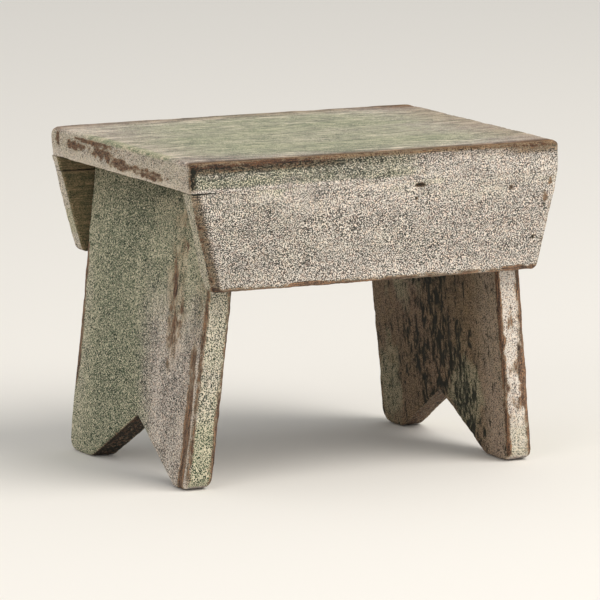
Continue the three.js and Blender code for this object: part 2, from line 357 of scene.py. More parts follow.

    # Grime in the smears lies over everything, and so does the painted shade in the notches, the crack
    # and on inner and under faces.
    smeared = node("ShaderNodeMath", {0: smears, 1: 1.3, 2: coat["shade"]}, operation="MULTIPLY_ADD")
    shaded = node("ShaderNodeMath", {0: smeared, 1: speck_edge}, operation="ADD")
    dark_range = {"Value": shaded, "From Min": 1.05, "From Max": 1.22}
    dark_share = node("ShaderNodeMapRange", dark_range, interpolation_type="SMOOTHSTEP")
    grime_and_shade_share = node("ShaderNodeMath", {0: dark_share, 1: 0.96}, operation="MULTIPLY")
    colours = {MIX_SHARE: grime_and_shade_share, MIX_A: paint, MIX_B: srgb(GRIME_AND_SHADE)}
    paint = node("ShaderNodeMix", colours, data_type="RGBA").outputs[MIX_COLOUR]

    # Specks stand up; bare wood and the hollows that hold grime and painted shade lie deeper.
    lost = node("ShaderNodeMath", {0: dark_share, 1: 0.7, 2: wood_share}, operation="MULTIPLY_ADD")
    grit_gain = node("ShaderNodeMath", {0: coat["grit"], 1: 0.9, 2: 0.1}, operation="MULTIPLY_ADD")
    stands = node("ShaderNodeMath", {0: specks, 1: grit_gain}, operation="MULTIPLY")
    height = node("ShaderNodeMath", {0: stands, 1: lost}, operation="SUBTRACT")
    bump = node("ShaderNodeBump", {"Strength": 0.8, "Distance": 0.35 * MM, "Height": height})
    finish = {"Base Color": paint, "Roughness": 0.86, "IOR": 1.48, "Normal": bump}
    surface = node("ShaderNodeBsdfPrincipled", finish)
    node("ShaderNodeOutputMaterial", {"Surface": surface})
    return material


def nail_steel():
    """Drawn steel wire, cut and cold-headed into nails. It is bare grey metal gone dull, with a faint
    unevenness of about 0.6 mm in its colour and shine where the dies have scuffed it."""
    material, tree = new_material("drawn_steel_wire")
    place = add(tree, "ShaderNodeTexCoord").outputs["Object"]
    scuffs = add(tree, "ShaderNodeTexNoise", {"Vector": place, "Scale": 1 / (0.6 * MM), "Detail": 2.0})
    colour = add(tree, "ShaderNodeValToRGB", {"Fac": scuffs}, stops=[(0.3, "#77736b"), (0.7, "#a3a098")])
    rough = add(tree, "ShaderNodeMapRange", {"Value": scuffs, "To Min": 0.35, "To Max": 0.55})
    finish = {"Base Color": colour, "Metallic": 1.0, "Roughness": rough}
    surface = add(tree, "ShaderNodeBsdfPrincipled", finish)
    add(tree, "ShaderNodeOutputMaterial", {"Surface": surface})
    return material


# ---- What all boards share ----

NAIL_DENT_RADIUS = 2.6
CHIP_DEPTH = 0.3  # how deep the paint's edge stands round bare wood


def hand_worn(points, seed, to_seam=None):
    """Inward relief of a hand-planed, thickly painted board, in millimetres. The finest grit
    fades towards a seam, so that boards which lie flush stay flush."""
    waves = 0.35 * noise(points, 38, seed, 2)
    build = 0.22 * ramp(noise(points, 7, seed + 5, 3), 0.45, 0.6)
    grit = 0.16 * noise(points, 2.4, seed + 9, 2)
    if to_seam is not None:
        grit = 0.08 + (grit - 0.08) * ramp(to_seam, 0.3, 2)
    return waves + build + grit


def chipped(points, wood, seed):
    """Inward relief where the paint is off: the wood lies below it, and unevenly."""
    return CHIP_DEPTH * ramp(wood, 0.3, 0.6) * noise(points, 3, seed, 2)


def nail_places(start):
    """The middles of the nails whose names begin with start."""
    return [sum(box_mm(name)) / 2 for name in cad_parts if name.startswith(start)]


def crack_share(x):
    """The seam under the top has opened at its left end only."""
    return ramp(x, -106, -118)


def painted_board(name, points, quads, coats, material):
    """Makes the painted board that stands for a CAD board, within that board's box. Only the glue
    line under the top board is closed."""
    low, high = box_mm(name)
    if high[2] > UNDERSIDE - GLUE_REACH:
        high[2] = max(high[2], UNDERSIDE)
    points = np.clip(points, low, high)
    mesh = bpy.data.meshes.new(name + "_painted")
    mesh.from_pydata((points * MM).tolist(), [], quads.tolist())
    for coat, share in coats.items():
        attribute = mesh.attributes.new(coat, "FLOAT", "POINT")
        attribute.data.foreach_set("value", np.clip(share, -1, 1).astype(np.float32))
    mesh.polygons.foreach_set("use_smooth", np.ones(len(mesh.polygons), bool))
    mesh.materials.append(material)
    mesh.update()
    piece = bpy.data.objects.new(name + "_painted", mesh)
    bpy.context.scene.collection.objects.link(piece)
    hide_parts(name)
    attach(piece, "root")


# ---- Top board ----

# Places are pairs of centre and reach; pits are centre, radius and depth.
LEFT_END_WEAR = [
    ((-129, 62, 195), (6, 17, 3.2)),
    ((-129, 22, 194.5), (6, 20, 4.0)),
    ((-129, -4, 190.5), (6, 26, 3.6)),
    ((-129, -42, 189.5), (6, 22, 3.4)),
    ((-129, 34, 199.5), (6, 34, 2.0)),
    ((-129, 84, 196), (6, 4, 5)),
]
RIGHT_END_WEAR = [
    ((129, 58, 190), (6, 24, 3.0)),
    ((129, -20, 195), (6, 30, 2.4)),
    ((129, -70, 187), (6, 12, 2.0)),
]
TOP_PITS = [
    ((-129, -88, 188), 1.8, 0.5),
    ((-129, 40, 198), 1.6, 0.4),
    ((-14, -95.5, 201.5), 2.4, 0.5),
    ((-8, -95.5, 201.0), 2.0, 0.4),
    ((84, -95.5, 201.5), 2.2, 0.3),
    ((-52, -95.5, 201.2), 2.6, 0.4),
]
TOP_CORNER_RADIUS = 4.0
FLUSH_WIDTH = 13  # how far in from its long edges the top rests on an apron


def near_corner_wear(points):
    """The near left corner is knocked about and worn to dark wood down its upright arris."""
    x, y, z = points.T
    return ramp(np.hypot(x + HALF_LENGTH, y + HALF_WIDTH), 5.5, 1.5) * ramp(z, 183, 190)


def top_shape():
    """Settled points and quads of the top, its inside distance without the underside, and with it."""
    points, quads = shell(
        spaced(-HALF_LENGTH, HALF_LENGTH, 1.5),
        spaced(-HALF_WIDTH, HALF_WIDTH, 1.5),
        spaced(UNDERSIDE, HEIGHT, 1.2, margin=3.2),
    )
    x, y, z = points.T
    near_corner = np.exp(-((x + HALF_LENGTH) ** 2 + (y + HALF_WIDTH) ** 2) / 18**2)
    far_corner = np.exp(-((x + HALF_LENGTH) ** 2 + (y - HALF_WIDTH) ** 2) / 14**2)
    upper = 1.8 + 2.0 * noise(points, 22, 11, 3) + 1.6 * near_corner + 2.6 * far_corner
    at_end = ramp(HALF_LENGTH - np.abs(x), 4, 1) * ramp(np.abs(y), 90, 82)
    crack = crack_share(x) * ramp(y, -80, -92)
    lower = 0.03 + at_end * (1.0 + 1.2 * noise(points, 14, 12, 2)) + 0.7 * crack

    def exposed(p):
        x, y, z = p.T
        bevel = 0.13 * np.maximum(196 - z, 0) * (x < 0) * ramp(y, 60, 90)
        to_end = HALF_LENGTH - np.abs(x) - bevel
        side = soft_min(to_end, HALF_WIDTH - np.abs(y), TOP_CORNER_RADIUS)
        return soft_min(side, HEIGHT - z, upper)

    def inside(p):
        return soft_min(exposed(p), p[:, 2] - UNDERSIDE, lower)

    return settle(points, inside), quads, exposed, inside


def top_faces(points):
    """How far the points are from each face of the top, and how much they lie on each."""
    x, y, z = points.T
    to = SimpleNamespace(
        front=HALF_WIDTH + y,
        rear=HALF_WIDTH - y,
        left=HALF_LENGTH + x,
        right=HALF_LENGTH - x,
        top=HEIGHT - z,
        under=z - UNDERSIDE,
    )
    on = SimpleNamespace(top=ramp(to.top, 3.2, 0.8), under=ramp(to.under, 0.6, 0.1))
    on.front = ramp(to.front, 2.2, 0.6) * (1 - on.top)
    on.rear = ramp(to.rear, 2.2, 0.6) * (1 - on.top)
    on.left = ramp(to.left, 2.2, 0.6) * (1 - on.top)
    on.right = ramp(to.right, 2.2, 0.6) * (1 - on.top)
    return to, on


def top_coats(points, to, on):
    """Green in the middle of the top and on its front edge, cream towards the rims, brown arrises."""
    x, y, z = points.T
    drift = noise(points, 26, 21, 4, (3.5, 1, 1))
    fine = noise(points, 5, 22, 3, (4, 1, 1))
    arris_noise = noise(points, 9, 23, 3, (4, 1, 1))
    flakes = noise(points, 3.5, 64, 2, (2, 1, 1)) - 0.5
    knocked = near_corner_wear(points)
    leftwards = ramp(x, 45, 5)
    upper_front = on.front * ramp(z + 2 * (fine - 0.5), 186, 188)
    rim = np.maximum(ramp(np.abs(y), 50, 90), ramp(np.abs(x), 85, 122))
    tan_streak = ramp(np.abs(x + 66), 22, 8)

    front_arris = rub(to.front, to.top, 3.6, 3.4)
    left_share = np.maximum(ramp(x, 0, -60), 0.75 * ramp(x, 70, 110))
    band = on.front * ramp(to.top + 3 * (arris_noise - 0.5), 8.5, 5.0) * (0.25 + 0.75 * left_share)
    left_wear = np.max([patch(points, *place, 31, 0.7) for place in LEFT_END_WEAR], axis=0)
    left_wear *= on.left * (0.76 + 0.7 * noise(points, 4, 27, 3, (1, 3, 0.7)))

    green_top = 0.64 - 0.22 * ramp(np.abs(x + 8), 58, 122) - 0.26 * ramp(np.abs(y), 56, 90)
    sage = on.top * (green_top + 0.45 * (drift - 0.5))
    sage += upper_front * 0.45 * leftwards + on.front * (0.12 + 0.4 * (fine - 0.5))
    sage += (on.left + on.right) * 0.4 + on.rear * 0.35
    sage += 0.5 * on.top * ramp(to.left, 9, 3) * ramp(np.abs(y + 10), 70, 40)

    # Short dashes of cream along the grain, shifted from row to row so that they don't line up.
    row_shift = noise(points, 4, 29, 1, (1000, 1, 1))[:, None]
    dashes = ramp(noise(points + np.array([34, 0, 0]) * row_shift, 2.4, 28, 2, (7, 1, 1)), 0.62, 0.76)
    # The 0.22 lifts the whole top face: partly painted light, as the top is lit more from above.
    cream = on.top * (0.22 + 0.3 * ramp(fine, 0.55, 0.7) * ramp(to.rear, 45, 5))
    cream += on.top * (0.3 * ramp(to.right, 34, 4) + 0.25 * ramp(to.left, 22, 4)) * fine
    cream += on.top * rim * 0.9 * (noise(points, 3.2, 24, 3, (9, 1, 1)) - 0.5)
    cream += on.top * (0.3 + 0.6 * rim) * dashes
    cream -= on.top * 0.13 * ramp(to.front, 48, 12) * ramp(x, 40, -20)
    cream += on.front * (0.1 + 0.9 * flakes) - 0.35 * band - 0.3 * upper_front * leftwards
    cream += (on.left + on.right) * 0.2 + on.left * (0.25 + 0.35 * ramp(to.top, 12, 16))
    cream += on.left * 0.7 * (noise(points, 8, 26, 3, (1, 2, 1)) - 0.45)

    wood = front_arris * (0.2 + 0.7 * arris_noise + 0.2 * left_share + 0.3 * tan_streak)
    wood += 0.56 * band * (0.4 + arris_noise) + on.top * 0.1 * ramp(to.front, 5, 2)
    wood += 0.7 * rub(to.rear, to.top, 5, 8) * (0.3 + arris_noise)
    wood += 0.35 * rub(to.right, to.top, 5, 5) + 0.3 * rub(to.left, to.top, 4, 3)
    wood += 0.6 * left_wear + 0.6 * knocked + 0.5 * on.right * patches(points, RIGHT_END_WEAR, 32)

    # The 0.3 on the underside is partly a dark stain, partly painted shade under the top.
    shade = 0.1 * on.rear + 0.1 * on.left + 0.3 * on.under + 0.05 * on.front
    shade += upper_front * 0.24 * ramp(x, 45, 0) + 0.16 * band + 0.3 * knocked
    # The dark line along the opened seam is painted shade in the crack.
    shade += 0.8 * on.front * crack_share(x) * ramp(to.under, 0.9, 0.2)

    umber_and_shade = 0.12 + 0.12 * ramp(np.abs(x), 80, 124) + 0.85 * ramp(to.front, 14, 3)
    umber_and_shade = on.top * (umber_and_shade + 0.5 * ramp(to.rear, 26, 4) + 0.28 * ramp(to.right, 46, 5))
    umber_and_shade += 0.8 * band + 0.6 * front_arris * (1 - tan_streak) + 0.55 * knocked
    # The 0.5 umber on the underside is partly stain, partly painted shade.
    umber_and_shade += 0.32 * on.left + 0.15 * left_wear + 0.2 * on.right + 0.5 * on.under

    grit = 0.2 * on.top + on.front + on.rear + 0.55 * (on.left + on.right) + 0.5 * on.under
    return {"sage": sage, "cream": cream, "wood": wood, "shade": shade, "grit": grit, "umber_and_shade": umber_and_shade}


def top_board(material):
    points, quads, exposed, inside = top_shape()
    to, on = top_faces(points)
    coats = top_coats(points, to, on)
    relief = hand_worn(points, 51, to.under) * (0.35 + 0.65 * (1 - on.top))
    relief += 0.25 * on.top * ramp(noise(points, 3.2, 55, 3, (8, 1, 1)), 0.5, 0.68)
    relief += chipped(points, coats["wood"], 57)
    for place in nail_places("top_nail"):
        relief += 0.35 * dent(points, (place[0], place[1], HEIGHT), NAIL_DENT_RADIUS)
    for centre, radius, depth in TOP_PITS:
        relief += depth * dent(points, centre, radius)
    flush = (np.abs(points[:, 1]) > HALF_WIDTH - FLUSH_WIDTH)[:, None]
    inwards = np.where(flush, inward(exposed, points), inward(inside, points))
    points = points + inwards * relief[:, None]
    painted_board("top_board", points, quads, coats, material)


# ---- Aprons ----

REAR_WEAR = [
    ((-62, 95.5, 125.5), (34, 5, 2.2)),
    ((71, 95.5, 126), (22, 5, 2.6)),
    ((-112, 95.5, 160), (3, 5, 12)),
    ((20, 95.5, 148), (26, 5, 3.2)),
]
FRONT_WEAR = [
    ((-47, -95.5, 125.5), (16, 5, 1.6)),
    ((98, -95.5, 125.5), (16, 5, 1.8)),
    ((118, -95.5, 168), (2.4, 5, 5)),
    ((122, -95.5, 178), (2.0, 5, 3)),
]
FRONT_KNOTS = [
    ((30, -95.5, 181), (4.4, 3, 1.7)),
    ((94, -95.5, 176), (1.5, 3, 1.5)),
    ((27, -95.5, 173), (1.4, 3, 1.1)),
    ((110, -95.5, 144), (1.2, 3, 1.6)),
]
KNOT_HOLE = ((30, -95.5, 181), (3.4, 2, 1.3))
APRON_FOOT_RADIUS = 3.0
STRIP_SOFTNESS = 0.1
NEVER_NEAR = 50.0  # stands for the distance from a face that a board doesn't show
FRONT, REAR = -1, 1
APRON_SEEDS = {FRONT: 60, REAR: 80}


def half_length(z):
    """Half the length of an apron at a height: its ends are raked."""
    return np.minimum(HALF_LENGTH, HALF_LENGTH - RAKE * (RAKE_TOP - z) / RAKE_DEPTH)


def to_raked_end(points, face):
    """The distance from the nearer end, level. The rear apron's left end was cut a little short."""
    x, y, z = points.T
    short = REAR_END_SHORT + REAR_END_TURN * (RAKE_TOP - z) / RAKE_DEPTH
    return half_length(z) - np.abs(x) - short * (x < 0) * (face == REAR)


def apron_shape(face, thickness, low, high, steps, is_strip):
    """Settled points and quads of an apron, and its inside distance without the joints."""
    points, quads = shell(
        spaced(-HALF_LENGTH, HALF_LENGTH, steps[0]),
        spaced(0, thickness, 1.3, margin=3.0),
        spaced(low, high, steps[1]),
    )
    points[:, 0] *= half_length(points[:, 2]) / HALF_LENGTH
    points[:, 1] = face * (HALF_WIDTH - points[:, 1])
    if face == REAR:
        quads = quads[:, ::-1]
    x, y, z = points.T
    worn = noise(points, 18, APRON_SEEDS[face], 3)
    crack = crack_share(x) * ramp(high - z, 3, 1) * (face == FRONT)
    near_top = np.ones(len(z)) if is_strip else ramp(high - z, 14, 0)
    outer = (1.2 + 2.2 * worn) * (1 - near_top) + TOP_CORNER_RADIUS * near_top
    inner = 1.0 + 1.2 * worn
    upper = 0.03 + 0.7 * crack

    def exposed(p):
        end = to_raked_end(p, face) * cos(RAKE_ANGLE)
        to_out = HALF_WIDTH - face * p[:, 1]
        corner = end if is_strip else soft_min(end, p[:, 2] - low, APRON_FOOT_RADIUS)
        return soft_min(soft_min(corner, to_out, outer), thickness - to_out, inner)

    def inside(p):
        body = exposed(p)
        if is_strip:
            body = soft_min(body, p[:, 2] - low, STRIP_SOFTNESS)
        return soft_min(body, high - p[:, 2], upper)

    return settle(points, inside), quads, exposed


def apron_faces(points, face, thickness, low, high, is_strip):
    """How far the points are from each face of an apron, and how much they lie on each."""
    x, y, z = points.T
    to_out = HALF_WIDTH - face * y
    to = SimpleNamespace(out=to_out, back=thickness - to_out, end=to_raked_end(points, face))
    to.bottom = np.full(len(z), NEVER_NEAR) if is_strip else z - low
    to.top = high - z
    to.seam = np.minimum(to.top, z - low) if is_strip else to.top
    on = SimpleNamespace(out=ramp(to.out, 2.2, 0.6), back=ramp(to.back, 2.2, 0.6))
    between_them = (1 - on.out) * (1 - on.back)
    on.end = between_them * ramp(to.end, 4, 1)
    on.bottom = between_them * ramp(to.bottom, 3, 1)
    return to, on


def apron_arris_wear(points, to, seed):
    rubbed = 0.4 * rub(to.out, to.end, 7, 5) + 0.85 * rub(to.out, to.bottom, 5, 7)
    rubbed += 0.35 * rub(to.back, to.end, 5, 5)
    return rubbed * (0.4 + 1.1 * noise(points, 8, seed + 3, 3, (3, 1, 1)))


def front_apron_coats(points, to, on):
    """Sandy cream with a little green, whiter in bands near the top, brown down its left rake."""
    x, y, z = points.T
    seed = APRON_SEEDS[FRONT]
    height = z - APRON_BOTTOM
    broad = noise(points, 30, seed + 1, 3, (3, 1, 1))
    bands = noise(points, 6, seed + 2, 3, (6, 1, 1))
    flakes = noise(points, 3.5, seed + 4, 2, (2, 1, 1)) - 0.5
    knots = patches(points, FRONT_KNOTS, 34, 0.2)
    left = ramp(x, 10, -50)
    near_rake = left * on.out * ramp(to.end, 8.5, 4.5)
    upper_coat = ramp(height, 40, 56)
    lower_zone = ramp(height, 4, 14) * ramp(height, 50, 40)

    sage = on.out * (0.12 + 0.5 * (broad - 0.5) + 0.3 * ramp(height, 46, 60) * ramp(bands, 0.48, 0.6))
    sage += on.end * 0.6 + on.back * 0.6

    cream = 0.8 * upper_coat * (bands - 0.26) + 0.1 * ramp(height, 22, 4) - 0.15 * lower_zone
    cream += 0.09 * ramp(np.abs(height - 25), 9, 3) - 0.11 * ramp(x, -55, -90)
    cream = on.out * (cream + (0.45 + 0.5 * upper_coat) * flakes)
    cream += on.end * 0.35 + on.back * 0.1
    cream += 0.4 * (1 - left) * rub(to.out, to.end, 7, 5) - 0.3 * near_rake

    wood = apron_arris_wear(points, to, seed) + 0.22 * near_rake
    wood += 0.55 * patches(points, FRONT_WEAR, 33) + 0.9 * knots

    # The inner and bottom faces are darkened with grime and umber: partly painted shade.
    shade = on.out * (0.02 + 0.06 * (1 - upper_coat)) + on.back * 0.3 + on.bottom * 0.2
    # The crack_share term is painted shade in the opened seam.
    shade += 0.7 * on.out * crack_share(x) * ramp(to.top, 0.8, 0.2) + 0.25 * near_rake + 0.5 * knots

    umber_and_shade = on.out * 0.04 + on.back * 0.85 + on.bottom * 0.5 + on.end * 0.26
    umber_and_shade += 0.62 * near_rake + 0.7 * knots
    grit = on.out + on.end * 0.75 + on.back * 0.2 + on.bottom * 0.5
    return {"sage": sage, "cream": cream, "wood": wood, "shade": shade, "grit": grit, "umber_and_shade": umber_and_shade}


def rear_apron_coats(points, to, on):
    """Greener than the front, and browned on its inner face, partly as painted shade."""
    z = points[:, 2]
    seed = APRON_SEEDS[REAR]
    broad = noise(points, 30, seed + 1, 3, (3, 1, 1))
    bands = noise(points, 6, seed + 2, 3, (6, 1, 1))
    sage = on.out * (0.6 + 1.2 * (broad - 0.5)) + on.end * 0.4 + on.back * 0.9
    sage += on.end * 0.9 * ramp(np.abs(z - APRON_BOTTOM - 20), 9, 4)
    cream = on.out * 0.2 * ramp(bands, 0.5, 0.65) + on.end * 0.6 + on.back * 0.28
    wood = apron_arris_wear(points, to, seed) + 0.5 * patches(points, REAR_WEAR, 36)
    # The inner and bottom faces are darkened with grime and umber: partly painted shade.
    shade = on.out * 0.1 + on.back * 0.1 + on.bottom * 0.2
    umber_and_shade = on.out * 0.04 + on.back * 0.85 + on.bottom * 0.5 + on.end * 0.26
    grit = on.out * 0.75 + on.end * 0.75 + on.back * 0.2 + on.bottom * 0.5
    return {"sage": sage, "cream": cream, "wood": wood, "shade": shade, "grit": grit, "umber_and_shade": umber_and_shade}


def apron_board(name, face, thickness, low, high, steps, material):
    is_strip = low > APRON_BOTTOM + 1  # the strip is square below, where it meets the board under it
    points, quads, exposed = apron_shape(face, thickness, low, high, steps, is_strip)
    to, on = apron_faces(points, face, thickness, low, high, is_strip)
    coats = (front_apron_coats if face == FRONT else rear_apron_coats)(points, to, on)
    relief = hand_worn(points, 51, to.seam) + chipped(points, coats["wood"], 57)
    for place in nail_places("apron_nail"):
        if place[1] * face > 0:
            relief += 0.4 * dent(points, (place[0], face * HALF_WIDTH, place[2]), NAIL_DENT_RADIUS)
    if face == FRONT:
        relief += 0.6 * patch(points, *KNOT_HOLE, 35, 0.2)
    points = points + inward(exposed, points) * relief[:, None]
    painted_board(name, points, quads, coats, material)


# ---- Legs ----

LEFT, RIGHT = -1, 1
LEG_SEEDS = {LEFT: 100, RIGHT: 130}
NOTCH_APEX_RADIUS = 1.7
NOTCH_FOOT_RADIUS = 1.2
LEG_TOP_RADIUS = 0.12
FAR_AWAY = 200  # added to the distance from an edge, for points on the leg's other half


def leg_half_width(v, length):
    return LEG_HALF_WIDTH - LEG_TAPER * (1 - v / length)


def leg_grid(offset, length):
    """A dense shell that already follows the notch, the taper and the mitred upper end. A point is
    (t, y, v): depth behind the outer face, place across the leg, and way up along it."""
    points, quads = shell(
        spaced(0, LEG_THICKNESS, 1.3, margin=4.0),
        spaced(-LEG_HALF_WIDTH, LEG_HALF_WIDTH, 1.4),
        spaced(0, 1, 1.4 / length, margin=4.0 / length, fine=0.45 / length),
    )
    t, y, share = points.T
    floor_y = y * (LEG_HALF_WIDTH - LEG_TAPER) / LEG_HALF_WIDTH
    notch = NOTCH_HEIGHT * (1 - np.abs(floor_y - offset) / NOTCH_HALF_WIDTH)
    low = np.maximum(t * tan(LEG_SPLAY), notch)
    high = (UNDERSIDE + t * sin(LEG_SPLAY)) / cos(LEG_SPLAY)
    v = low + share * (high - low)
    return np.stack([t, y * leg_half_width(v, length) / LEG_HALF_WIDTH, v], axis=1), quads


def leg_board(name, side, material):
    offset = NOTCH_OFFSETS[name]
    length = (UNDERSIDE + LEG_THICKNESS * sin(LEG_SPLAY)) / cos(LEG_SPLAY)
    points, quads = leg_grid(offset, length)
    if side == RIGHT:
        quads = quads[:, ::-1]
    seed = LEG_SEEDS[side]
    worn = noise(points, 20, seed, 3)
    outer = 1.6 + 2.2 * worn
    inner = 1.4 + 2.0 * worn

    def distances(p):
        """The inside distances from a leg's outer and inner face, edges, floor, notch and top."""
        t, y, v = p.T
        edge = leg_half_width(v, length) - np.abs(y)
        rise = v * cos(LEG_SPLAY) - t * sin(LEG_SPLAY)
        across = (y - offset) / NOTCH_HALF_WIDTH
        front_slope = (v - NOTCH_HEIGHT * (1 + across)) * cos(NOTCH_ANGLE)
        rear_slope = (v - NOTCH_HEIGHT * (1 - across)) * cos(NOTCH_ANGLE)
        notch = -soft_min(-front_slope, -rear_slope, NOTCH_APEX_RADIUS)
        return t, LEG_THICKNESS - t, edge, rise, notch, UNDERSIDE - rise

    def inside(p):
        out, back, edge, rise, notch, under_top = distances(p)
        outline = soft_min(soft_min(rise, notch, NOTCH_FOOT_RADIUS), edge, FOOT_RADIUS)
        body = soft_min(soft_min(outline, out, outer), back, inner)
        return soft_min(body, under_top, LEG_TOP_RADIUS)

    points = settle(points, inside)
    out, back, edge, rise, notch, under_top = distances(points)
    to, on = leg_faces(points, out, back, edge, notch)
    coats = (left_leg_coats if side == LEFT else right_leg_coats)(points, to, on)
    relief = hand_worn(points, seed + 7) + chipped(points, coats["wood"], seed + 9)
    relief += 0.25 * on.back * ramp(noise(points, 2.2, seed + 12, 2, (1, 1, 4)), 0.5, 0.62)
    t, y, v = (points + inward(inside, points) * relief[:, None]).T
    x = side * (LEG_HALF_STANCE - t * cos(LEG_SPLAY) - v * sin(LEG_SPLAY))
    z = v * cos(LEG_SPLAY) - t * sin(LEG_SPLAY)
    painted_board(name, np.stack([x, y, z], axis=1), quads, coats, material)


def leg_faces(points, out, back, edge, notch):
    """How far the points are from each face of a leg, and how much they lie on each."""
    y = points[:, 1]
    to = SimpleNamespace(out=out, back=back, notch=notch)
    to.front = edge + FAR_AWAY * (y > 0)
    to.rear = edge + FAR_AWAY * (y < 0)
    on = SimpleNamespace(out=ramp(out, 3.0, 0.8), back=ramp(back, 3.0, 0.8))
    between_them = (1 - on.out) * (1 - on.back)
    on.edge = between_them * ramp(edge, 4, 1)
    on.front = on.edge * (y < 0)
    on.rear = on.edge * (y > 0)
    on.notch = between_them * ramp(notch, 3, 1) * (1 - on.edge)
    return to, on


def left_leg_coats(points, to, on):
    """Green outside, worn to rosy cream and streaks of wood towards the front edge."""
    t, y, v = points.T
    seed = LEG_SEEDS[LEFT]
    broad = noise(points, 32, seed + 1, 3, (1, 1, 1.6))
    mid = noise(points, 9, seed + 2, 3, (1, 1, 2))
    tall = noise(points, 5, 43, 3, (1, 1, 5))
    worn_side = ramp(y - 0.35 * (v - 60), 26, -34)
    streak = on.out * patch(points, (0, -43, 122), (8, 14, 52), 41, 0.6)
    stripe = on.out * ramp(np.abs(to.front - 9), 7.0, 3.5) * ramp(v, 160, 120)
    pale_line = on.out * ramp(np.abs(to.front - 4.6), 1.8, 0.6) * ramp(v, 110, 60)

    sage = 1.15 - 0.9 * worn_side * ramp(v, 170, 80) - 0.4 * ramp(to.rear, 34, 6) + 0.6 * (broad - 0.5)
    sage = on.out * sage + on.front * (0.55 + 0.7 * ramp(v, 48, 28))
    sage += on.rear * 0.7 + on.back * 0.55 + on.notch * 0.1

    cream = worn_side * (0.12 + 0.35 * ramp(mid, 0.4, 0.6)) - 0.17
    cream += 0.15 * ramp(to.rear, 20, 3) + 0.27 * ramp(to.rear, 38, 10)
    # The cut high on the leg, below the top, is partly painted shadow, partly darker green.
    cream += 0.12 * ramp(v, 60, 20) - 0.25 * ramp(v, 112, 150) * ramp(np.abs(y + 6), 50, 24)
    cream = on.out * cream + on.front * 0.25 + on.rear * 0.2 + 0.6 * pale_line
    cream += 3.0 * streak * (noise(points, 2.8, 46, 2, (1, 1, 3)) - 0.36)

    wood = streak * (0.37 + 1.5 * (tall - 0.5)) * ramp(np.abs(y + 43), 17, 7)
    wood += stripe * (0.42 + 0.08 * ramp(v, 100, 70) + 1.3 * (tall - 0.5)) - 0.25 * pale_line
    wood += (rub(to.out, to.front, 4.5, 4) + rub(to.back, to.front, 5, 6)) * (0.4 + tall)
    wood += 1.5 * rub(to.out, to.rear, 8, 9) * ramp(np.abs(v - 85), 60, 30) * (0.3 + tall)
    wood += 0.7 * on.notch + 0.3 * rub(to.out, to.notch, 5, 5)

    # Grime and umber darken the notch faces, over their bare wood, and the inner face: painted shade.
    shade = 0.06 * on.out + 0.25 * on.back + 0.5 * on.notch + 0.1 * on.front
    # The 0.25 high on the leg is partly painted shadow under the top.
    umber_and_shade = 0.14 + 0.04 * worn_side + 0.25 * ramp(v, 140, 180) + 0.15 * ramp(to.front, 26, 10)
    umber_and_shade = on.out * umber_and_shade + 0.3 * streak + 0.5 * on.back + 0.9 * on.notch + 0.1 * on.front
    grit = 0.75 * on.out + 0.6 * on.back + 0.8 * on.edge + 0.4 * on.notch
    return {"sage": sage, "cream": cream, "wood": wood, "shade": shade, "grit": grit, "umber_and_shade": umber_and_shade}


def right_leg_coats(points, to, on):
    """Green outside. The inner face is browned cream, the browning partly painted shade, with dark
    upright flecks down its middle.
    """
    t, y, v = points.T
    seed = LEG_SEEDS[RIGHT]
    broad = noise(points, 32, seed + 1, 3, (1, 1, 1.6))
    mid = noise(points, 9, seed + 2, 3, (1, 1, 2))
    tall = noise(points, 7, 44, 3, (1, 1, 5))
    chunks = noise(points, 5, 45, 4, (1, 1, 2))
    flecks = noise(points, 3.2, 52, 2, (1, 1, 2.5))
    damp_line = 9 + 0.3 * (v - 80)
    outer_streak = on.out * patch(points, (0, 38, 96), (8, 13, 60), 47, 0.6)
    green = patch(points, (18, 66, 32), (9, 15, 30), 48, 0.7)
    green = np.maximum(green, patch(points, (18, -30, 34), (9, 20, 30), 49, 0.7))
    green = on.back * np.maximum(green, patch(points, (18, 40, 112), (9, 26, 26), 50, 0.7))

    sage = on.out * (0.8 + 0.8 * (broad - 0.5) - 0.5 * ramp(to.rear, 30, 6) - 0.4 * ramp(to.front, 22, 5))
    sage += on.back * (0.42 + 0.9 * (broad - 0.5)) + 0.7 * green
    sage += on.front * 0.45 * ramp(v, 40, 18) + on.rear * 0.6 + on.notch * 0.1

    cream = on.out * (0.1 + 0.25 * ramp(mid, 0.45, 0.6)) + 1.4 * outer_streak * (mid - 0.4)
    cream += on.front * 0.5 + on.rear * 0.25 + on.back * 0.56

    rusty = ramp(np.abs(v - 66), 50, 20)
    wood = 1.1 * rub(to.out, to.front, 6, 7) * (0.35 + tall)
    wood += 1.3 * rub(to.back, to.front, 5, 4) * (0.4 + tall)
    wood += on.front * (0.5 * ramp(chunks, 0.44, 0.66) * (0.35 + 0.65 * rusty) + 0.08 * rusty)
    wood += 0.6 * rub(to.out, to.rear, 6, 5) * (0.4 + tall) + outer_streak * (0.36 + 0.8 * (tall - 0.5))
    wood += 0.6 * on.notch

    shade = 0.19 + 0.28 * ramp(np.abs(y - damp_line), 64, 12) + 0.4 * (broad - 0.5) + 0.9 * (flecks - 0.5)
    # Grime and umber darken the notch faces, and umber browns the inner face: partly painted shade.
    shade = on.back * shade + 0.08 * on.out + 0.3 * on.notch
    umber_and_shade = on.back * (0.88 - 0.3 * green - 0.15 * ramp(to.front, 40, 15))
    umber_and_shade += on.notch * 0.8 + on.out * 0.08 + on.front * 0.1
    grit = 0.75 * on.out + 0.7 * on.back + 0.45 * on.edge + 0.4 * on.notch
    return {"sage": sage, "cream": cream, "wood": wood, "shade": shade, "grit": grit, "umber_and_shade": umber_and_shade}


# ---- The stool ----

